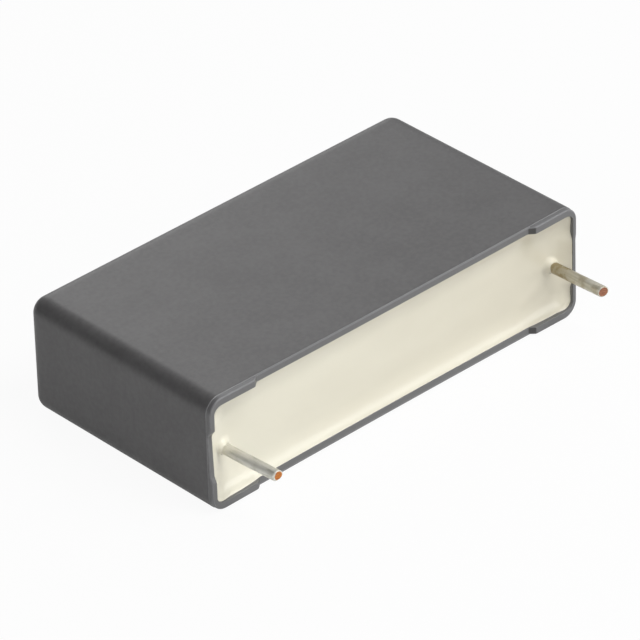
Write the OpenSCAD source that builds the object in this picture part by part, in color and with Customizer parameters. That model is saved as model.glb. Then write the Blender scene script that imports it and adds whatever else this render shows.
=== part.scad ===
// Box film capacitor for boards, lying on one of its large sides.
// X runs along the box, +Y from the board into the box, +Z up through its thickness.
// The origin is midway between the two leads, in the plane of the feet that stand on the board.

/* [Box] */
// Distance between the two lead axes
lead_spacing = 37.5; // [27.5:0.5:52.5]
// From a lead's axis to the outside of the nearer end wall
end_margin = 2; // [1.85:0.05:3]
// From the feet to the closed end
box_height = 21.9; // [16:0.1:32]
// Outside thickness, between the two large sides
box_thickness = 10.8; // [8.5:0.1:20]
// Radius of the four long edges that run from the feet to the closed end
edge_radius = 1.45; // [1.2:0.05:2.2]
// Radius of the edges round the closed end
end_edge_radius = 1.2; // [0.5:0.05:1.2]

/* [Walls] */
// Wall thickness at the open rim
wall = 0.75; // [0.6:0.05:0.95]
// Thickness of the closed end
floor_thickness = 1; // [0.7:0.05:1.5]
// Draft of the inside walls, in degrees
draft = 0.6; // [0:0.1:0.8]

/* [Feet] */
// How far the corner feet stand out from the rim
foot_height = 0.46; // [0.3:0.02:0.7]
// Length of a foot along a large side, from the end of the box
foot_length = 5; // [3:0.1:8]
// Length of a foot along an end wall, from the large side
foot_width = 2.9; // [2:0.1:3.2]
// Length of the slope from a foot down to the rim
foot_slope = 0.55; // [0.1:0.05:0.8]
// Step inwards at the mould's parting line, where the feet begin
parting_step = 0.05; // [0.02:0.01:0.1]

/* [Resin] */
// Drop from the rim to the line where the resin meets the wall
resin_edge_drop = 0.05; // [0.02:0.01:0.3]
// How far the resin climbs up the walls from its level middle
wall_climb = 0.43; // [0.1:0.01:0.6]
// Width of the resin's curved border along the walls
climb_width = 1.3; // [0.8:0.1:1.5]
// Corner radius of the level middle's border
resin_corner_radius = 1.6; // [1.5:0.1:2.4]
// How far the resin climbs up each lead from its level middle
lead_climb = 0.5; // [0.2:0.05:0.6]
// Width of the resin's collar round each lead
collar_width = 0.6; // [0.3:0.05:0.65]

/* [Leads] */
// Diameter of the lead wire
wire_diameter = 1; // [0.8:0.05:1.2]
// Length of a lead past the feet
lead_length = 5.25; // [3:0.25:26]
// Rounding of the cut end's edge
cut_edge_radius = 0.07; // [0.02:0.01:0.15]
// Thickness of the wire where it is pressed flat against the metal end
pressed_thickness = 0.6; // [0.4:0.05:0.7]
// Width of the wire where it is pressed flat
pressed_width = 1.36; // [1.36:0.02:1.8]
// Length over which the round wire becomes flat
press_run = 1; // [0.6:0.1:1.5]
// How far a lead stops short of the winding's far edge
lead_stop = 1.5; // [0.5:0.1:4]

/* [Winding] */
// Thickness of the sprayed metal on each end of the winding
spray_thickness = 0.6; // [0.3:0.05:0.9]
// Resin between the winding and the inside of a large side, at the closed end
side_gap = 0.45; // [0.2:0.05:0.8]
// Resin between the winding and the closed end
floor_gap = 0.6; // [0.3:0.1:1.5]
// Resin that covers the winding on the open side
resin_cover = 1.3; // [1:0.1:3]

/* [Hidden] */
$fn = 64;
overcut = 1;

box_length = lead_spacing + 2 * end_margin;
half_length = box_length / 2;
half_thickness = box_thickness / 2;
slant = tan(draft);

// the inside of the box, which the resin fills
cavity_depth = box_height - floor_thickness;
cavity_half_length = half_length - wall;
cavity_half_thickness = half_thickness - wall;
cavity_radius = edge_radius - wall;

// heights of the resin's surface, counted from the feet into the box
resin_edge = foot_height + resin_edge_drop;
resin_level = resin_edge + wall_climb;

// the winding with its metal ends, and the wires on them
wire_radius = wire_diameter / 2;
metal_face = lead_spacing / 2 - pressed_thickness / 2;
winding_half_width = metal_face - spray_thickness;
winding_start = resin_level + resin_cover;
winding_end = cavity_depth - floor_gap;
winding_height = winding_end - winding_start;
winding_thickness = 2 * (cavity_half_thickness - cavity_depth * slant - side_gap);
press_start = resin_edge;
lead_end = winding_end - lead_stop;

// radius of an arc that leaves a level surface smoothly and climbs by rise over a run
function climb_radius(run, rise) = (run * run + rise * rise) / (2 * rise);

// both sides of the middle plane across the box's length
module both_ends() {
    children();
    mirror([1, 0, 0]) children();
}

// both sides of the middle plane through the box's thickness
module both_sides() {
    children();
    mirror([0, 0, 1]) children();
}

// Sweeps a half profile round a rectangle with rounded corners.
// The profile's x counts outwards from the corner axes, and its y is the height from start to end.
module swept_block(half_x, half_z, radius, start, end) {
    axis_x = half_x - radius;
    axis_z = half_z - radius;
    linear_extrude(2 * axis_z, center = true) {
        translate([-axis_x, start]) square([2 * axis_x, end - start]);
        translate([axis_x, 0]) children();
        mirror([1, 0]) translate([axis_x, 0]) children();
    }
    both_sides() translate([0, 0, axis_z]) rotate([0, -90, 0])
        linear_extrude(2 * axis_x, center = true) children();
    both_ends() both_sides() translate([axis_x, 0, axis_z])
        rotate([-90, 0, 0]) rotate([0, 0, -90]) rotate_extrude(angle = 90) children();
}

// outside of the box: a straight side, a step at the parting line and a rounded closed end
module outside_profile() {
    bend = edge_radius - end_edge_radius;
    difference() {
        intersection() {
            square([edge_radius, box_height]);
            union() {
                square([edge_radius, box_height - end_edge_radius]);
                square([bend, box_height]);
                translate([bend, box_height - end_edge_radius]) circle(end_edge_radius);
            }
        }
        translate([edge_radius - parting_step, -overcut])
            square([2 * parting_step, overcut + foot_height]);
    }
}

// inside of the box, narrowing towards the closed end, from the given height down
module cavity_profile(start) {
    polygon([
        [0, start],
        [cavity_radius - start * slant, start],
        [cavity_radius - cavity_depth * slant, cavity_depth],
        [0, cavity_depth]
    ]);
}

module cavity(start) {
    swept_block(cavity_half_length, cavity_half_thickness, cavity_radius, start, cavity_depth)
        cavity_profile(start);
}

// one wide gap in the rim, between two feet, with sloping ends; half is half the gap at the feet
module rim_gap(half) {
    polygon([
        [-half, -overcut],
        [-half, 0],
        [foot_slope - half, foot_height],
        [half - foot_slope, foot_height],
        [half, 0],
        [half, -overcut]
    ]);
}

module case() color([0.4, 0.4, 0.41]) difference() {
    swept_block(half_length, half_thickness, edge_radius, 0, box_height) outside_profile();
    cavity(-overcut);
    linear_extrude(box_thickness + overcut, center = true) rim_gap(half_length - foot_length);
    rotate([0, -90, 0]) linear_extrude(box_length + overcut, center = true)
        rim_gap(half_thickness - foot_width);
}

// space above the resin: level in the middle, and curving up to the walls like a shallow dish
module dish_profile() {
    turn = resin_corner_radius - climb_width;
    reach = resin_corner_radius + wall;
    climb = climb_radius(climb_width, wall_climb);
    intersection() {
        translate([0, -overcut]) square([reach, resin_level + overcut]);
        union() {
            translate([0, -overcut]) square([turn, resin_level + overcut]);
            translate([turn, resin_level - climb]) circle(climb, $fn = 256);
        }
    }
}

module dish() {
    swept_block(cavity_half_length, cavity_half_thickness, resin_corner_radius, -overcut, resin_level)
        dish_profile();
}

// collar of resin drawn up round one lead, meeting the level surface at a slight angle
module collar() {
    climb = climb_radius(collar_width, lead_climb);
    foot = resin_cover / 2;
    translate([lead_spacing / 2, resin_level, 0]) rotate([-90, 0, 0]) rotate_extrude()
        difference() {
            translate([0, -lead_climb]) square([wire_radius + collar_width, lead_climb + foot]);
            translate([wire_radius + collar_width, -climb * 1.02]) circle(climb);
        }
}

module resin_fill() color([0.9, 0.88, 0.79]) difference() {
    union() {
        difference() {
            cavity(0);
            dish();
        }
        both_ends() collar();
    }
    winding();
    both_ends() end_spray();
    both_ends() lead();
}

// outline of the wound roll after it is pressed flat: straight sides and round turns
module roll_outline() {
    turn_radius = winding_thickness / 2;
    straight = winding_height - winding_thickness;
    translate([-turn_radius, winding_start + turn_radius]) square([winding_thickness, straight]);
    translate([0, winding_start + turn_radius]) circle(turn_radius);
    translate([0, winding_end - turn_radius]) circle(turn_radius);
}

module winding() {
    rotate([0, -90, 0]) linear_extrude(2 * winding_half_width, center = true) roll_outline();
}

// metal sprayed on the end of the winding, on the +X side
module end_spray() {
    translate([metal_face, 0, 0]) rotate([0, -90, 0]) linear_extrude(spray_thickness) roll_outline();
}

// half section of the wire: a rounded cut end, the round length, then spreading under the press
module wire_profile() {
    difference() {
        polygon([
            [0, -lead_length],
            [wire_radius, -lead_length],
            [wire_radius, press_start],
            [pressed_width / 2, press_start + press_run],
            [pressed_width / 2, lead_end],
            [0, lead_end]
        ]);
        translate([wire_radius - cut_edge_radius, -lead_length]) difference() {
            translate([0, -overcut]) square([overcut, overcut + cut_edge_radius]);
            translate([0, cut_edge_radius]) circle(cut_edge_radius);
        }
    }
}

// metal that the press takes off one side: closing in over the run, then a flat along the rest
module pressed_away() {
    clear_of_wire = wire_radius + pressed_thickness / 4;
    linear_extrude(2 * pressed_width, center = true) polygon([
        [clear_of_wire, press_start],
        [pressed_thickness / 2, press_start + press_run],
        [pressed_thickness / 2, lead_end + overcut],
        [pressed_width, lead_end + overcut],
        [pressed_width, press_start]
    ]);
}

// lead on the +X side
module lead() {
    translate([lead_spacing / 2, 0, 0]) difference() {
        rotate([-90, 0, 0]) rotate_extrude() wire_profile();
        both_ends() pressed_away();
    }
}

module film_winding() color([0.8, 0.82, 0.84]) winding();
module end_spray_left() color([0.6, 0.6, 0.58]) mirror([1, 0, 0]) end_spray();
module end_spray_right() color([0.6, 0.6, 0.58]) end_spray();
module lead_left() color([0.76, 0.74, 0.69]) mirror([1, 0, 0]) lead();
module lead_right() color([0.76, 0.74, 0.69]) lead();

case();
resin_fill();
film_winding();
end_spray_left();
end_spray_right();
lead_left();
lead_right();
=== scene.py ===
import math

import bpy
import mathutils
from mathutils.geometry import delaunay_2d_cdt
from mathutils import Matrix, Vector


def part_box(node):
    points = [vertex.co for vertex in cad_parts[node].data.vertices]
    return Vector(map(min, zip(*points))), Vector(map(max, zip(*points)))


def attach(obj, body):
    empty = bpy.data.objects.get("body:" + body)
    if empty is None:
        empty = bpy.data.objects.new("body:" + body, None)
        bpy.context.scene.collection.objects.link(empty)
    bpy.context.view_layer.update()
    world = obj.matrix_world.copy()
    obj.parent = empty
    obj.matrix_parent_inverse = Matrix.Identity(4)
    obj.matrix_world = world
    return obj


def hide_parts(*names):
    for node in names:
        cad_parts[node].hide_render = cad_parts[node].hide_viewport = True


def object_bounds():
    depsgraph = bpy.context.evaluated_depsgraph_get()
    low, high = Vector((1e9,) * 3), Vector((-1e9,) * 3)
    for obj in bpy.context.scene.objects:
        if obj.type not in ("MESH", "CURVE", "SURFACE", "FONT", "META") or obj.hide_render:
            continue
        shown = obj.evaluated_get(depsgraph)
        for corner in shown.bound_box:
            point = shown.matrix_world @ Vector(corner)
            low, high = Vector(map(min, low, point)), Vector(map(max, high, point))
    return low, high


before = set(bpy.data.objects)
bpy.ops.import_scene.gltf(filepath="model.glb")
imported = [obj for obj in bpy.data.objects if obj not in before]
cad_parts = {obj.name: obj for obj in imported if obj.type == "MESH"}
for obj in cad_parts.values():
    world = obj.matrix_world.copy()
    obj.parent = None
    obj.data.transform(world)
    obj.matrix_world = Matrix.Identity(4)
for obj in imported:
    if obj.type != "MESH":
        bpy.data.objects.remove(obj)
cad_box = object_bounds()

# ---------------------------------------------------------------------------------------------
# Film winding
# Two ribbons of metallised polypropylene, wound together on a mandrel and pressed flat. It is
# the part that stores the charge, and it sits sealed in resin in the middle of the box.

MM = 0.001
FILM_SILVER = (0.60, 0.63, 0.66, 1)
FILM_GREY = (0.44, 0.47, 0.51, 1)


class Shade:
    """One socket of a material, so that shader maths can be written as plain sums."""

    def __init__(self, tree, socket=None):
        self.tree = tree
        self.socket = socket

    def node(self, kind, settings=None, inputs=None, output=0):
        """A node of this type, with its settings and the values or links of its sockets."""
        made = self.tree.nodes.new("ShaderNode" + kind)
        for name, value in (settings or {}).items():
            setattr(made, name, value)
        for name, value in (inputs or {}).items():
            if isinstance(value, Shade):
                self.tree.links.new(value.socket, made.inputs[name])
            else:
                made.inputs[name].default_value = value
        return Shade(self.tree, made.outputs[output] if made.outputs else None)

    def maths(self, operation, *values):
        return self.node("Math", {"operation": operation}, dict(enumerate(values)))

    def __add__(self, other):
        return self.maths("ADD", self, other)

    def __radd__(self, other):
        return self.maths("ADD", other, self)

    def __sub__(self, other):
        return self.maths("SUBTRACT", self, other)

    def __rsub__(self, other):
        return self.maths("SUBTRACT", other, self)

    def __mul__(self, other):
        return self.maths("MULTIPLY", self, other)

    def __rmul__(self, other):
        return self.maths("MULTIPLY", other, self)

    def __abs__(self):
        return self.maths("ABSOLUTE", self)

    def or_more(self, other):
        """The larger of the two values."""
        return self.maths("MAXIMUM", self, other)

    def step(self, low, high):
        """0 below low, 1 above high, and smooth between them."""
        settings = {"interpolation_type": "SMOOTHSTEP"}
        return self.node("MapRange", settings, {"Value": self, "From Min": low, "From Max": high})

    def between(self, first, second):
        """The first colour where this value is 0, and the second where it is 1."""
        return self.node("Mix", {"data_type": "RGBA"}, {0: self, 6: first, 7: second}, 2)

    def stretched(self, x, y, z):
        return self.node("VectorMath", {"operation": "MULTIPLY"}, {0: self, 1: (x, y, z)})

    def along(self, axis):
        """One coordinate of a position or direction: 0 is x, 1 is y and 2 is z."""
        return self.node("SeparateXYZ", {}, {0: self}, axis)

    def noise(self, grain, detail=2.0, harshness=0.5):
        """Fractal noise on a position in millimetres, with its largest grain of that size."""
        sockets = {"Vector": self, "Scale": 1 / grain, "Detail": detail, "Roughness": harshness}
        return self.node("TexNoise", {}, sockets)

    def relief(self, strength, depth):
        """A surface direction that follows this height, with its depth in millimetres."""
        return self.node("Bump", {}, {"Strength": strength, "Distance": depth * MM, "Height": self})


def new_finish(name):
    """A new material, and the position on the part in millimetres."""
    material = bpy.data.materials.new(name)
    material.use_nodes = True
    material.node_tree.nodes.clear()
    place = Shade(material.node_tree).node("TexCoord", output="Object")
    return material, place.stretched(1 / MM, 1 / MM, 1 / MM)


def close_finish(start, inputs):
    """Puts the surface together from its values and links it to the output."""
    surface = start.node("BsdfPrincipled", {}, inputs)
    start.node("OutputMaterial", {}, {"Surface": surface})


def wear(piece, material):
    """The piece takes this material all over."""
    piece.data.materials.clear()
    piece.data.materials.append(material)


film, place = new_finish("wound_film")
ribbon_lines = place.stretched(0.08, 6, 6).noise(0.5, 3)
waves = place.noise(4)
silvered = (ribbon_lines * 0.7 + waves * 0.3).step(0.35, 0.65)
close_finish(place, {
    "Base Color": silvered.between(FILM_GREY, FILM_SILVER),
    "Metallic": 0.75,
    "Roughness": 0.2 + 0.2 * waves,
    "Normal": ribbon_lines.relief(0.4, 0.02),
})
wear(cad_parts["film_winding"], film)

# ---------------------------------------------------------------------------------------------
# End sprays
# Zinc sprayed as hot drops on both ends of the winding, where it joins the edges of the film.
# It dries rough, and the leads are pressed and welded on it.

ZINC_LIGHT = (0.50, 0.50, 0.49, 1)
ZINC_DARK = (0.27, 0.27, 0.27, 1)
DROPS_PER_MM = 5.0

zinc, place = new_finish("sprayed_zinc")
drop_sockets = {"Vector": place, "Scale": DROPS_PER_MM, "Smoothness": 0.6}
drops = place.node("TexVoronoi", {"feature": "SMOOTH_F1"}, drop_sockets)
specks = place.noise(0.12, 4)
close_finish(place, {
    "Base Color": (drops * 0.8 + specks * 0.5).step(0.2, 0.85).between(ZINC_LIGHT, ZINC_DARK),
    "Metallic": 0.85,
    "Roughness": 0.5 + 0.25 * specks,
    "Normal": (1 - drops + 0.4 * specks).relief(0.8, 0.08),
})
wear(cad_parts["end_spray_left"], zinc)
wear(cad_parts["end_spray_right"], zinc)

# ---------------------------------------------------------------------------------------------
# Leads
# Tinned copper wire, 1 mm thick. Each is pressed flat where it lies on the sprayed zinc, comes
# out of the resin round, and is sheared off, so the bare copper shows at its end.

WIRE_RADIUS = 0.5
DRAWING_WOBBLE = 0.006
PRESSED_HALF_WIDTH = 0.68
PRESSED_HALF_THICKNESS = 0.3
PRESS_START = 0.75
PRESS_END = 1.7
PRESSED_END_TAPER = 0.1
# distance from the board where the wire leaves the resin, and the length of its bend below that
LEAD_EXIT = 0.9
BEND_LENGTH = 1.3
# places of the wire's middle at that exit and at its cut end, as x outwards from the middle and z
LEAD_PATHS = {
    "lead_left": ((18.73, -0.13), (18.33, -0.20)),
    "lead_right": ((18.57, -0.15), (18.62, 0.02)),
}
LEAD_SIDES = 40
CUT_ROUNDING = 0.07
# how much sooner the cut ends the wire at its -X side and at its lower side, dying out along it
CUT_SLANTS = {"lead_left": (0.16, 0.10), "lead_right": (0.26, 0.0)}
CUT_SLANT_LENGTH = 1.2
# the ridge left where the two cutter blades met runs across this direction, as x and z
RIDGE_ACROSS = (0.6, 0.8)
RIDGE_HEIGHT = 0.042
RIDGE_WIDTH = 0.14
FACE_HOLLOW = 0.045
FACE_SLOPE = 0.03
# rings of points on the cut face, as shares of the wire's size
FACE_RINGS = (0.92, 0.84, 0.75, 0.65, 0.55, 0.44, 0.3, 0.16, 0.06)
# bare copper on the cut face: its middle as x and z from the wire's axis, and its half sizes
BARE_SPOTS = {"lead_left": (0.11, 0.02, 0.36, 0.48), "lead_right": (0.0, -0.02, 0.52, 0.50)}
TIN_LIGHT = (0.84, 0.83, 0.76, 1)
TIN_DARK = (0.58, 0.57, 0.49, 1)
STAIN = (0.36, 0.30, 0.18, 1)
COPPER = (0.85, 0.31, 0.05, 1)
COPPER_DARK = (0.46, 0.15, 0.05, 1)
OLD_COPPER = (0.46, 0.21, 0.12, 1)
OLD_COPPER_DARK = (0.30, 0.12, 0.07, 1)


def smooth(value):
    """0 to 1, leaving and arriving level."""
    value = min(max(value, 0.0), 1.0)
    return value * value * (3 - 2 * value)


def new_piece(name, points, faces, smooth_faces=True):
    """A mesh object from points in millimetres."""
    mesh = bpy.data.meshes.new(name)
    mesh.from_pydata([(x * MM, y * MM, z * MM) for x, y, z in points], [], faces)
    mesh.polygons.foreach_set("use_smooth", [smooth_faces] * len(mesh.polygons))
    mesh.update()
    piece = bpy.data.objects.new(name, mesh)
    bpy.context.scene.collection.objects.link(piece)
    return piece


def skin(loops):
    """Quads between closed loops of equal length, whose points are numbered one after another."""
    count = len(loops[0])
    faces = []
    for row in range(len(loops) - 1):
        here = row * count
        for k in range(count):
            after = (k + 1) % count
            faces.append((here + k, here + after, here + count + after, here + count + k))
    return faces


def lead_stations(low, high):
    """Places along the wire, close together at the cut, the bend and the pressed end."""
    stations = [low + step for step in (0.0, 0.012, 0.035, 0.07, 0.12, 0.3)]
    first = stations[-1]
    stations += [first + (LEAD_EXIT - first) * k / 16 for k in range(1, 17)]
    stations += [LEAD_EXIT + 0.1 * k for k in range(1, 14)]
    return stations + [2.5, 4, 8, 12, 16, high - 0.3, high - 0.1, high - 0.03, high]


def lead_loops(side, low, high, base, tip, slant):
    """Rings of the wire from its cut end to its pressed end."""
    low_corner, high_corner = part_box("lead_right")
    welded_x = (low_corner.x + high_corner.x) / 2 / MM
    loops = []
    for y in lead_stations(low, high):
        if y < LEAD_EXIT:
            out = (LEAD_EXIT - y) / (LEAD_EXIT - low)
            x = base[0] + (tip[0] - base[0]) * out
            z = base[1] + (tip[1] - base[1]) * out
        else:
            bend = smooth((y - LEAD_EXIT) / BEND_LENGTH)
            x = base[0] + (welded_x - base[0]) * bend
            z = base[1] * (1 - bend)
        pressed = smooth((y - PRESS_START) / (PRESS_END - PRESS_START))
        wide = WIRE_RADIUS + (PRESSED_HALF_WIDTH - WIRE_RADIUS) * pressed
        thin = WIRE_RADIUS + (PRESSED_HALF_THICKNESS - WIRE_RADIUS) * pressed
        before_round = max(CUT_ROUNDING - (y - low), 0.0)
        pull = CUT_ROUNDING - math.sqrt(CUT_ROUNDING**2 - before_round**2)
        pull = max(pull, y - high + PRESSED_END_TAPER)
        near_cut = max(1 - (y - low) / CUT_SLANT_LENGTH, 0.0)
        loop = []
        for k in range(LEAD_SIDES):
            angle = 2 * math.pi * k / LEAD_SIDES
            wobble = DRAWING_WOBBLE * math.sin(3 * angle + y * 1.7) * (1 - pressed)
            across = max(-thin, min(thin, (wide - pull + wobble) * math.cos(angle)))
            along = (wide - pull + wobble) * math.sin(angle)
            sooner = slant[0] * (WIRE_RADIUS - side * across) + slant[1] * (WIRE_RADIUS - along)
            loop.append((side * (x + across), y + max(sooner, 0.0) * near_cut, z + along))
        loops.append(loop)
    return loops


def cut_end(loop, side, tip):
    """The sheared face: a low ridge where the two cutter blades met, inside the wire's rim."""
    rings = []
    middle_y = sum(point[1] for point in loop) / len(loop)
    for share in FACE_RINGS:
        ring = []
        for x, y, z in loop:
            off_x = (x - side * tip[0]) * share
            off_y = (y - middle_y) * share
            off_z = (z - tip[1]) * share
            across = off_x * RIDGE_ACROSS[0] + off_z * RIDGE_ACROSS[1]
            ridge = RIDGE_HEIGHT * math.exp(-((across / RIDGE_WIDTH) ** 2))
            slope = FACE_SLOPE * across / WIRE_RADIUS
            inwards = (FACE_HOLLOW - ridge - slope) * (1 - share)
            ring.append((side * tip[0] + off_x, middle_y + off_y + inwards, tip[1] + off_z))
        rings.append(ring)
    return rings


tin, place = new_finish("tinned_copper")
bare = place.node("Attribute", {"attribute_name": "bare_copper"}, output="Fac")
drawn = place.stretched(5, 0.25, 5).noise(0.9, 3)
blots = place.noise(0.7, 3)
shear_lines = place.stretched(1.2, 1, 9).noise(0.35, 2)
right_one = place.along(0).step(-1, 1)
near_resin = (place.along(1) + blots).step(-3.0, 1.4)
stained_spots = blots.step(0.4, 0.7)
stained = near_resin * (0.2 + 0.45 * right_one) + right_one * (0.22 + stained_spots * 0.45)
clean_tin = (drawn * 0.6 + blots * 0.4).step(0.3, 0.6).between(TIN_DARK, TIN_LIGHT)
sheared = shear_lines.step(0.35, 0.65)
fresh_cut = sheared.between(COPPER_DARK, COPPER)
old_cut = sheared.between(OLD_COPPER_DARK, OLD_COPPER)
is_bare = (bare + (blots - 0.5) * 0.35).step(0.42, 0.58)
tin_colour = stained.between(clean_tin, STAIN)
copper_colour = right_one.between(fresh_cut, old_cut)
close_finish(place, {
    "Base Color": is_bare.between(tin_colour, copper_colour),
    "Metallic": 0.7 - 0.1 * is_bare,
    "Roughness": 0.45 + 0.16 * blots,
    "Normal": (drawn * 0.6 + is_bare * shear_lines).relief(0.5, 0.02),
})

for name, (base, tip) in LEAD_PATHS.items():
    side = -1 if name == "lead_left" else 1
    low_corner, high_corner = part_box(name)
    loops = lead_loops(side, low_corner.y / MM, high_corner.y / MM, base, tip, CUT_SLANTS[name])
    rings = cut_end(loops[0], side, tip)
    rows = rings[::-1] + loops
    faces = skin(rows)
    faces.append(tuple(range(LEAD_SIDES))[::-1])
    faces.append(tuple(range((len(rows) - 1) * LEAD_SIDES, len(rows) * LEAD_SIDES)))
    if side > 0:
        faces = [face[::-1] for face in faces]
    lead = new_piece("wire_" + name, [point for row in rows for point in row], faces)
    bared = lead.data.attributes.new("bare_copper", "FLOAT", "POINT")
    spot_x, spot_z, half_x, half_z = BARE_SPOTS[name]
    for number in range(len(rings) * LEAD_SIDES):
        point = lead.data.vertices[number].co / MM
        off_x = (point.x - side * tip[0] - spot_x) / half_x
        off_z = (point.z - tip[1] - spot_z) / half_z
        bared.data[number].value = smooth(2.2 - 1.7 * math.hypot(off_x, off_z))
    wear(lead, tin)
    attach(lead, "root")
    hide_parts(name)

# ---------------------------------------------------------------------------------------------
# Case
# A box moulded in grey flame-retardant plastic, open towards the board, with a finely grained
# outside. Its rim stands back between four corner feet, and its large sides draw in a little.

case_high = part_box("case")[1]
HALF_LENGTH = case_high.x / MM
HALF_THICKNESS = case_high.z / MM
HEIGHT = case_high.y / MM
EDGE_RADIUS = 1.45
END_EDGE_RADIUS = 1.2
AXIS_X = HALF_LENGTH - EDGE_RADIUS
AXIS_Z = HALF_THICKNESS - EDGE_RADIUS
WALL = 0.75
LEFT_WALL = 0.55
RIGHT_WALL = 0.48
END_THICKNESS = 1.0
SLANT = math.tan(math.radians(0.6))
FOOT_HEIGHT = 0.46
FOOT_LENGTH = 5.0
FOOT_LENGTH_RIGHT = 4.8
FOOT_WIDTH = 2.9
FOOT_SLOPE = 0.55
PARTING_STEP = 0.05
OUTER_ROUNDING = 0.13
INNER_ROUNDING = 0.05
# narrow bands beside the roundings, which keep the flat faces next to them flat
SHOULDER = 0.04
END_SHOULDER = 0.06
# little shelf under the parting line, where the rim stands back from the board
RIM_SHELF = 0.03
# depth of the gap in each end wall, at its upper and its lower end
GAP_LEFT = (0.44, 0.25)
GAP_RIGHT = (0.07, 0.03)
# the large sides draw in by this much at the middle of the rim, and it dies out at this depth
DRAWN_IN = 0.12
DRAWN_IN_DEPTH = 19.0
CORNER_STEPS = 14
END_EDGE_STEPS = 10
# the rim has fine steps over the slope of a foot, and starts them this far out along the foot
FINE_START = 0.34
FINE_STEP = 0.06
FINE_STEPS = 19
FINE_MARGIN = 0.1
# distances from the board of the rows of points on the outside and on the inside of a wall
OUTSIDE_ROWS = (20.5, 19.5, 18, 16, 14, 12, 10, 8, 6.2, 4.6, 3.2, 2.1, 1.3, 0.85, 0.64)
INSIDE_ROWS = (0.9, 1.4, 4, 9, 15)
# rows on the parting line and on the rim's rounded outer edge, counted from the parting line's top,
# which take a painted highlight
HIGHLIT_ROWS = (1, 2, 3, 9, 10, 11, 12, 13)
CASE_GREY = (0.078, 0.076, 0.077, 1)
CASE_GREY_LIGHT = (0.102, 0.100, 0.101, 1)
# lighter grey on the rim below the parting line: painted light, for the lamps that light the rim's face
RIM_PAINTED_LIGHT_GREY = (0.135, 0.135, 0.137, 1)
# lighter grey on the parting line and the rim's outer edge: a painted highlight
EDGE_HIGHLIGHT_GREY = (0.195, 0.195, 0.20, 1)
# darker grey on the slopes of the feet: painted shade
SLOPE_PAINTED_SHADE_GREY = (0.045, 0.044, 0.043, 1)


def drawn_in(x, y, z):
    """The same point after the large sides have shrunk inwards, most at the middle of the rim."""
    along = max(0.0, 1 - (x / HALF_LENGTH) ** 2)
    depth = 1 - smooth(max(y, 0) / DRAWN_IN_DEPTH)
    return (x, y, z * (1 - DRAWN_IN / HALF_THICKNESS * along * depth))


def eased(value, ease=0.12):
    """A straight climb from 0 to 1 with softened ends."""
    def soft(v):
        return (v + math.sqrt(v * v + ease * ease)) / 2

    return min(max(soft(value) - soft(value - 1), 0.0), 1.0)


def side_rim(x):
    """How far the rim of a large side stands back from the board, this far along the box."""
    foot = FOOT_LENGTH_RIGHT if x > 0 else FOOT_LENGTH
    return FOOT_HEIGHT * eased((HALF_LENGTH - foot - abs(x)) / FOOT_SLOPE)


def end_rim(sign, z):
    """The same for an end wall, whose rim isn't quite level."""
    upper, lower = GAP_RIGHT if sign > 0 else GAP_LEFT
    gap_half = HALF_THICKNESS - FOOT_WIDTH
    depth = lower + (upper - lower) * min(max((z + gap_half) / (2 * gap_half), 0), 1)
    return depth * eased((gap_half - abs(z)) / FOOT_SLOPE)


def places_along(end, half_gap, coarse):
    """Places along a side from end to end, close together at the slope of each foot."""
    fine = [half_gap + FINE_START - FINE_STEP * k for k in range(FINE_STEPS)]
    wide = [end * k / coarse for k in range(coarse + 1)]
    wide = [p for p in wide if not fine[-1] - FINE_MARGIN < p < fine[0] + FINE_MARGIN]
    half = sorted(wide + fine)
    return [-p for p in half[:0:-1]] + half


def perimeter():
    """Columns round the box: corner-axis point, outward direction and rim height."""
    columns = []

    def large_side(sign):
        for p in places_along(AXIS_X, HALF_LENGTH - FOOT_LENGTH, 18):
            columns.append((sign * p, sign * AXIS_Z, 0.0, float(sign), side_rim(sign * p)))

    def end_wall(sign):
        for p in places_along(AXIS_Z, HALF_THICKNESS - FOOT_WIDTH, 5):
            z = -sign * p
            columns.append((sign * AXIS_X, z, float(sign), 0.0, end_rim(sign, z)))

    def corner(x, z, start):
        for k in range(1, CORNER_STEPS):
            angle = math.radians(start - 90 * k / CORNER_STEPS)
            columns.append((x, z, math.cos(angle), math.sin(angle), 0.0))

    large_side(1)
    corner(AXIS_X, AXIS_Z, 90)
    end_wall(1)
    corner(AXIS_X, -AXIS_Z, 0)
    large_side(-1)
    corner(-AXIS_X, -AXIS_Z, -90)
    end_wall(-1)
    corner(-AXIS_X, AXIS_Z, -180)
    return columns


def wall_at(out_x):
    """Wall thickness at the rim for this outward direction: the end walls are the thinner ones."""
    end_wall = RIGHT_WALL if out_x > 0 else LEFT_WALL
    return WALL + (end_wall - WALL) * out_x**2


def quarter(steps):
    """Shares of the way across and up, round a quarter of a circle."""
    angles = [math.pi / 2 * k / steps for k in range(steps + 1)]
    return [(1 - math.cos(angle), 1 - math.sin(angle)) for angle in angles]


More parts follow.
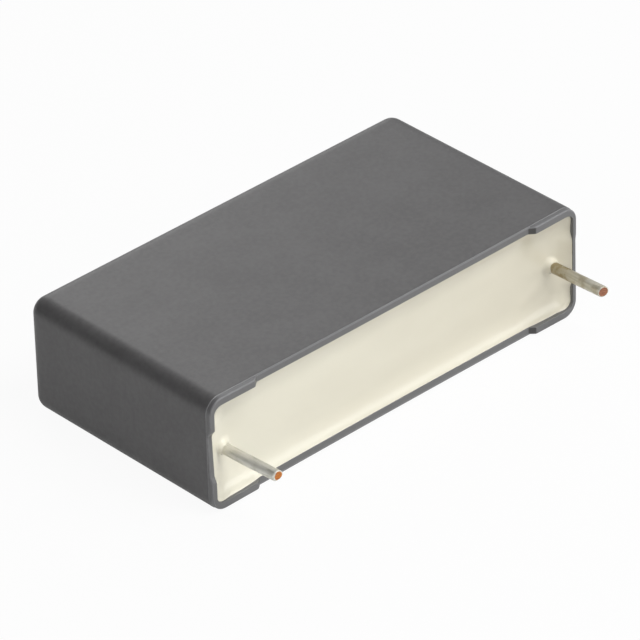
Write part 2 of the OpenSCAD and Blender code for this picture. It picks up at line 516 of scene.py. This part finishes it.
def wall_section(rim, wall):
    """Outline of the wall from the middle of the closed end, over the rim and back inside."""
    bend = EDGE_RADIUS - END_EDGE_RADIUS
    points = [(bend - END_SHOULDER, HEIGHT)]
    for across, up in quarter(END_EDGE_STEPS):
        points.append((bend + END_EDGE_RADIUS * (1 - up), HEIGHT - END_EDGE_RADIUS * across))
    points += [(EDGE_RADIUS, y) for y in OUTSIDE_ROWS]
    for across, up in quarter(3):
        points.append((EDGE_RADIUS - PARTING_STEP * across, FOOT_HEIGHT + PARTING_STEP * up))
    for share in (0.1, 0.35, 0.6, 0.8, 1):
        drop = max(FOOT_HEIGHT - rim - OUTER_ROUNDING, 0) * share
        shelf = RIM_SHELF * share * rim / FOOT_HEIGHT
        points.append((EDGE_RADIUS - PARTING_STEP - shelf, FOOT_HEIGHT - drop))
    edge, above_rim = points[-1]
    for across, up in quarter(6)[1:]:
        points.append((edge - OUTER_ROUNDING * across, rim + (above_rim - rim) * up))
    inner = EDGE_RADIUS - wall
    points.append((edge - OUTER_ROUNDING - SHOULDER, rim))
    points.append((inner + INNER_ROUNDING + SHOULDER, rim))
    for across, up in quarter(4):
        points.append((inner + INNER_ROUNDING * up, rim + INNER_ROUNDING * across))
    bottom = HEIGHT - END_THICKNESS
    for y in (rim + 0.1, rim + 0.2, *INSIDE_ROWS, bottom):
        points.append((inner - y * SLANT, y))
    points.append((inner - bottom * SLANT - END_SHOULDER, bottom))
    return points


columns = perimeter()
sections = [wall_section(rim, wall_at(out_x)) for _, _, out_x, _, rim in columns]
case_points = []
for row in range(len(sections[0])):
    for (axis_x, axis_z, out_x, out_z, _), section in zip(columns, sections):
        reach, y = section[row]
        case_points.append(drawn_in(axis_x + out_x * reach, y, axis_z + out_z * reach))
case_faces = skin([columns] * len(sections[0]))
case_faces.append(tuple(range(len(columns)))[::-1])
case_faces.append(tuple(range(len(case_points) - len(columns), len(case_points))))
box = new_piece("moulded_box", case_points, case_faces)
# marks the rows that take the painted highlight
edge_highlight = box.data.attributes.new("painted_edge_highlight", "FLOAT", "POINT")
parting_row = 1 + len(quarter(END_EDGE_STEPS)) + len(OUTSIDE_ROWS)
for row in HIGHLIT_ROWS:
    start = (parting_row + row) * len(columns)
    for number in range(start, start + len(columns)):
        edge_highlight.data[number].value = 1.0

plastic, place = new_finish("moulded_plastic")
grain = place.noise(0.11, 3, 0.6)
mottle = place.noise(0.45, 3, 0.6)
cloud = place.noise(3.5, 2)
mould_grey = (mottle * 0.6 + cloud * 0.4).step(0.3, 0.7).between(CASE_GREY, CASE_GREY_LIGHT)
off_board = place.along(1) + (mottle - 0.5) * 0.1
# the rim below the parting line: smoother, and lighter in colour as painted light
rim_smooth_and_painted_light = 1 - off_board.step(FOOT_HEIGHT - 0.02, FOOT_HEIGHT + 0.1)
facing = place.node("TexCoord", output="Normal")
facing_board = 0 - facing.along(1)
# the slopes of the feet, facing the board and sideways, take a darker grey as painted shade
foot_slope_painted_shade = abs(facing.along(0)).step(0.35, 0.55) * facing_board.step(0.4, 0.6) * rim_smooth_and_painted_light
# painted highlight along the parting line and the rim's outer edge
painted_edge_highlight = place.node("Attribute", {"attribute_name": "painted_edge_highlight"}, output="Fac") * (0.5 + mottle)
case_grey_under_highlight = rim_smooth_and_painted_light.between(mould_grey, foot_slope_painted_shade.between(RIM_PAINTED_LIGHT_GREY, SLOPE_PAINTED_SHADE_GREY))
close_finish(place, {
    "Base Color": (painted_edge_highlight * 0.9).between(case_grey_under_highlight, EDGE_HIGHLIGHT_GREY),
    "IOR": 1.6,
    "Roughness": 0.42 + 0.08 * grain - 0.08 * rim_smooth_and_painted_light,
    "Normal": grain.relief(0.5, 0.012),
})
wear(box, plastic)
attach(box, "root")
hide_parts("case")

# ---------------------------------------------------------------------------------------------
# Resin fill
# Cream epoxy poured in round the winding while the box stands open side up. It creeps up the
# walls and round the leads as it sets, and shrinks a little, so its glossy face isn't flat.

RESIN_LEVEL = 1.12
MENISCUS_WIDTH = 2.2
MENISCUS_POWER = 2.2
MOST_CLIMB = 1.1
DISH_RADIUS = 1.6
COLLAR_WIDTH = 0.6
COLLAR_CLIMB = 0.5
# where the resin meets the wall: just under the rim, or on the inside of a foot
UNDER_RIM = 0.04
ON_FOOT = 0.24
ON_RIGHT_FOOT = 0.34
CREEP_LENGTH = 1.1
# at an end wall it starts up the foot this far past the gap, over the foot's slope and this more
PAST_GAP = 0.3
PAST_SLOPE = 0.4
# the resin shrinks least near the ends of the box
END_RISE = 0.16
END_RISE_LENGTH = 6.5
RIPPLE = 0.012
# the resin reaches this far into the wall, so that no gap shows between them
IN_WALL = 0.02
MIDDLE_X = (LEFT_WALL - RIGHT_WALL) / 2
HALF_WIDE = HALF_LENGTH - (LEFT_WALL + RIGHT_WALL) / 2 + IN_WALL
HALF_DEEP = HALF_THICKNESS - WALL + IN_WALL
CAVITY_RADIUS = EDGE_RADIUS - (WALL + LEFT_WALL) / 2
# rings of points along the walls, with this distance between the points of a ring
PITCH = 0.35
BORDER_INSETS = (0.05, 0.12, 0.2, 0.3, 0.42, 0.55, 0.7, 0.85, 1.0, 1.15, 1.3, 1.5)
SHARPEST_CORNER = 0.25
# rings of points round each lead, the first of them inside the wire, and the room left for them
COLLAR_REACHES = (0.45, 0.49, 0.53, 0.58, 0.64, 0.72, 0.82, 0.93, 1.02, 1.1)
RING_ROOM = 1.17
GRID_ROOM = 1.2
# half the number of grid lines across the level middle, along the box and through it
GRID_X = 56
GRID_Z = 9
GRID_INSET = 1.75
# depths of the walls below the face: along the case, and round the holes hidden in the wires
WALL_TOP = 1.5
HOLE_DEPTHS = (1.2, 1.9)
# the resin's colour at its left and its right end: the darker right end is painted shade
RESIN_LIT_PALE = (0.830, 0.800, 0.670, 1)
RESIN_SHADED_CREAM = (0.690, 0.650, 0.530, 1)


def arc_climb(run, width, rise):
    """Height of an arc that leaves the level and climbs by rise over that width."""
    radius = (width * width + rise * rise) / (2 * rise)
    run = max(run, 0.0)
    return radius - math.sqrt(max(radius * radius - run * run, 0.0))


def meniscus(away):
    """Share of the climb to a wall this far from it: steepest at the wall, and dying out."""
    return max(1 - away / MENISCUS_WIDTH, 0.0) ** MENISCUS_POWER


def wetting_line(x, z):
    """Distance from the board of the line where the resin meets the nearest wall."""
    foot_length, climbed = (FOOT_LENGTH_RIGHT, ON_RIGHT_FOOT) if x > 0 else (FOOT_LENGTH, ON_FOOT)
    if HALF_DEEP - abs(z) < HALF_WIDE - abs(x - MIDDLE_X):
        at_rim = FOOT_HEIGHT + UNDER_RIM
        past_rim = max(abs(x) - (HALF_LENGTH - foot_length) + FOOT_SLOPE, 0.0)
        in_gap = math.exp(-past_rim / CREEP_LENGTH)
    else:
        at_rim = end_rim(1 if x > 0 else -1, z) + UNDER_RIM
        gap_end = HALF_THICKNESS - FOOT_WIDTH + PAST_GAP
        in_gap = smooth((gap_end - abs(z)) / (FOOT_SLOPE + PAST_SLOPE))
    return climbed + (at_rim - climbed) * in_gap


def lead_places():
    """Where the leads leave the resin, as x and z."""
    left = LEAD_PATHS["lead_left"][0]
    right = LEAD_PATHS["lead_right"][0]
    return ((-left[0], left[1]), (right[0], right[1]))


def resin_height(x, z):
    """Distance of the resin's face from the board, before the box draws it in."""
    out_x = abs(x - MIDDLE_X)
    dx = max(out_x - (HALF_WIDE - DISH_RADIUS), 0.0)
    dz = max(abs(z) - (HALF_DEEP - DISH_RADIUS), 0.0)
    if dx > 0 and dz > 0:
        away = DISH_RADIUS - math.hypot(dx, dz)
    else:
        away = min(HALF_WIDE - out_x, HALF_DEEP - abs(z))
    rise = END_RISE * max((out_x - HALF_WIDE + END_RISE_LENGTH) / END_RISE_LENGTH, 0.0) ** 2
    level = RESIN_LEVEL - rise + RIPPLE * math.sin(x * 0.35 + 1.1) * math.cos(z * 0.5)
    climbs = [(level - wetting_line(x, z)) * min(meniscus(away), MOST_CLIMB)]
    for lead_x, lead_z in lead_places():
        near = WIRE_RADIUS + COLLAR_WIDTH - math.hypot(x - lead_x, z - lead_z)
        climbs.append(arc_climb(near, COLLAR_WIDTH, COLLAR_CLIMB))
    return level - sum(climb**3 for climb in climbs) ** (1 / 3)


def rounded_ring(inset, radius):
    """Points round the cavity at that distance from its walls, with rounded corners."""
    axis_x = HALF_WIDE - inset - radius
    axis_z = HALF_DEEP - inset - radius
    steps = max(3, math.ceil(radius * math.pi / 2 / PITCH))
    corners = []
    for sign_x, sign_z, start in ((1, 1, 90), (1, -1, 0), (-1, -1, -90), (-1, 1, -180)):
        middle_x = MIDDLE_X + sign_x * axis_x
        middle_z = sign_z * axis_z
        corner = []
        for k in range(steps + 1):
            angle = math.radians(start - 90 * k / steps)
            corner.append((middle_x + radius * math.cos(angle), middle_z + radius * math.sin(angle)))
        corners.append(corner)
    ring = []
    for corner, after in zip(corners, corners[1:] + corners[:1]):
        ring += corner
        (x, z), (next_x, next_z) = corner[-1], after[0]
        parts = max(1, round(math.hypot(next_x - x, next_z - z) / PITCH))
        for k in range(1, parts):
            ring.append((x + (next_x - x) * k / parts, z + (next_z - z) * k / parts))
    return ring


def far_from_leads(point, reach):
    """Whether a place is further than this from both leads."""
    return all(math.hypot(point[0] - x, point[1] - z) > reach for x, z in lead_places())


border = rounded_ring(0, CAVITY_RADIUS)
flat_points = list(border)
for inset in BORDER_INSETS:
    ring = rounded_ring(inset, max(DISH_RADIUS - inset, SHARPEST_CORNER))
    flat_points += [p for p in ring if far_from_leads(p, RING_ROOM)]
holes = []
for lead_x, lead_z in lead_places():
    holes.append(range(len(flat_points), len(flat_points) + LEAD_SIDES))
    for reach in COLLAR_REACHES:
        for k in range(LEAD_SIDES):
            angle = 2 * math.pi * (k + 0.5) / LEAD_SIDES
            flat_points.append((lead_x + reach * math.cos(angle), lead_z + reach * math.sin(angle)))
for i in range(-GRID_X, GRID_X + 1):
    for j in range(-GRID_Z, GRID_Z + 1):
        x = MIDDLE_X + (HALF_WIDE - GRID_INSET) * i / GRID_X
        z = (HALF_DEEP - GRID_INSET) * j / GRID_Z
        if far_from_leads((x, z), GRID_ROOM):
            flat_points.append((x, z))

edges = []
for outline in (range(len(border)), *holes):
    edges += list(zip(outline, [*outline[1:], outline[0]]))
vectors = [mathutils.Vector(p) for p in flat_points]
laid, _, triangles, sources, _, _ = delaunay_2d_cdt(vectors, edges, [], 0, 1e-6, True)
number_of = {origin: number for number, origins in enumerate(sources) for origin in origins}
resin_points = [drawn_in(p.x, resin_height(p.x, p.y), p.y) for p in laid]
resin_faces = []
for triangle in triangles:
    middle = [sum(laid[v][axis] for v in triangle) / 3 for axis in (0, 1)]
    if far_from_leads(middle, COLLAR_REACHES[0]):
        resin_faces.append(tuple(triangle)[::-1])


def hang(outline, levels, outwards):
    """Walls below an outline of the resin's face, closed at the bottom."""
    before = [number_of[k] for k in outline]
    for depth, shrink in levels:
        after = []
        for number in before:
            x, _, z = resin_points[number]
            after.append(len(resin_points))
            resin_points.append((x - math.copysign(shrink, x), depth, z - math.copysign(shrink, z)))
        for k in range(len(before)):
            m = (k + 1) % len(before)
            quad = (before[k], before[m], after[m], after[k])
            resin_faces.append(quad if outwards else quad[::-1])
        before = after
    resin_faces.append(tuple(before) if outwards else tuple(before)[::-1])


bottom = HEIGHT - END_THICKNESS
half_way = bottom / 2
along_case = ((WALL_TOP, IN_WALL), (half_way, (half_way - WALL_TOP) * SLANT), (bottom, half_way * SLANT))
hang(range(len(border)), along_case, True)
for hole in holes:
    hang(hole, [(depth, 0) for depth in HOLE_DEPTHS], False)
fill = new_piece("cast_resin", resin_points, resin_faces)

epoxy, place = new_finish("cream_epoxy")
streaks = place.stretched(0.4, 1, 1).noise(3.5, 2)
# base colour darkens from the left end towards the right as painted shade, for light falling off along
# the box, mixed with random streaks
along_box = place.along(0) * (0.5 / HALF_WIDE) + 0.5
streaks_and_painted_shade = (along_box + (streaks - 0.5) * 0.5).step(-0.15, 1.15)
skin_ripple = place.noise(1.6, 2)
close_finish(place, {
    "Base Color": streaks_and_painted_shade.between(RESIN_LIT_PALE, RESIN_SHADED_CREAM),
    "Roughness": 0.18 + 0.06 * skin_ripple,
    "Normal": skin_ripple.relief(0.3, 0.02),
})
wear(fill, epoxy)
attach(fill, "root")
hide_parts("resin_fill")

# ---------------------------------------------------------------------------------------------
# Stage
# A pale table that the box lies on, a plain white surround, soft lamps and the camera. None of
# it belongs to the part.

TABLE_HALF_SIZE = 600
TABLE_WHITE = (0.8, 0.8, 0.8, 1)
# how white the table shows to the camera and in gloss, where 1 is white
TABLE_SHOWN = 0.94
TABLE_IN_GLOSS = 0.5
# the table lies a hair under the box, so that their faces don't coincide
TABLE_DROP = 0.02
# how bright the room behind the camera and the sweep behind the part are
ROOM_DIM = 0.03
ROOM_BRIGHT = 0.45
SWEEP_SIDE = (0.70, 0.70, 0.12)
WHITE = (1, 1, 1, 1)
LAMP_DISTANCE = 0.36
CAMERA_PLACE = (-0.268896, -0.282392, 0.259272)
CAMERA_TURN = (56.7566, 1.3116, -43.5282)
CAMERA_LENS = 323.635

table_z = cad_box[0].z / MM - TABLE_DROP
table_corners = []
for x, y in ((-1, -1), (1, -1), (1, 1), (-1, 1)):
    table_corners.append((x * TABLE_HALF_SIZE, y * TABLE_HALF_SIZE, table_z))
table = new_piece("table", table_corners, [(0, 1, 2, 3)], False)
table_top, place = new_finish("white_table")
camera_ray = place.node("LightPath", output="Is Camera Ray")
glossy_ray = place.node("LightPath", output="Is Glossy Ray")
through_ray = place.node("LightPath", output="Is Transmission Ray")
in_gloss = glossy_ray.or_more(through_ray) * TABLE_IN_GLOSS
is_shown = in_gloss.or_more(camera_ray * TABLE_SHOWN)
matt = place.node("BsdfDiffuse", {}, {"Color": TABLE_WHITE})
shown = place.node("Emission", {}, {"Color": WHITE, "Strength": 1.0})
mixed = place.node("MixShader", {}, {0: is_shown, 1: matt, 2: shown})
place.node("OutputMaterial", {}, {"Surface": mixed})
wear(table, table_top)

world = bpy.data.worlds.new("studio")
bpy.context.scene.world = world
world.use_nodes = True
world.node_tree.nodes.clear()
air = Shade(world.node_tree)
way = air.node("TexCoord", output="Generated")
behind = way.node("VectorMath", {"operation": "DOT_PRODUCT"}, {0: way, 1: SWEEP_SIDE}, "Value")
room = ROOM_DIM + (ROOM_BRIGHT - ROOM_DIM) * behind.step(0.35, 0.85)
camera_ray = air.node("LightPath", output="Is Camera Ray")
sky = air.node("Background", {}, {"Color": WHITE, "Strength": camera_ray + (1 - camera_ray) * room})
air.node("OutputWorld", {}, {"Surface": sky})


def softbox(name, towards, width, height, watts):
    """A soft lamp that stands in that direction from the part and is aimed at it."""
    lamp = bpy.data.lights.new(name, "AREA")
    lamp.shape = "RECTANGLE"
    lamp.size = width
    lamp.size_y = height
    lamp.energy = watts
    stand = bpy.data.objects.new(name, lamp)
    direction = mathutils.Vector(towards).normalized()
    stand.location = direction * LAMP_DISTANCE
    stand.rotation_euler = direction.to_track_quat("Z", "Y").to_euler()
    bpy.context.scene.collection.objects.link(stand)


softbox("key_softbox", (0.45, -0.54, 0.71), 0.24, 0.24, 0.64)
softbox("top_softbox", (0.09, -0.41, 0.91), 0.14, 0.14, 0.54)
softbox("left_softbox", (-0.85, -0.31, 0.42), 0.14, 0.14, 0.22)
softbox("back_softbox", (0.45, 0.78, 0.42), 0.14, 0.14, 0.18)
softbox("low_softbox", (0.50, -0.86, 0.10), 0.24, 0.08, 0.23)

camera = bpy.data.cameras.new("camera")
camera.lens = CAMERA_LENS
camera.sensor_width = 36
camera.clip_start = 0.05
camera.clip_end = 10
viewer = bpy.data.objects.new("camera", camera)
viewer.location = CAMERA_PLACE
viewer.rotation_euler = [math.radians(angle) for angle in CAMERA_TURN]
bpy.context.scene.collection.objects.link(viewer)
bpy.context.scene.camera = viewer
bpy.context.scene.view_settings.view_transform = "Standard"
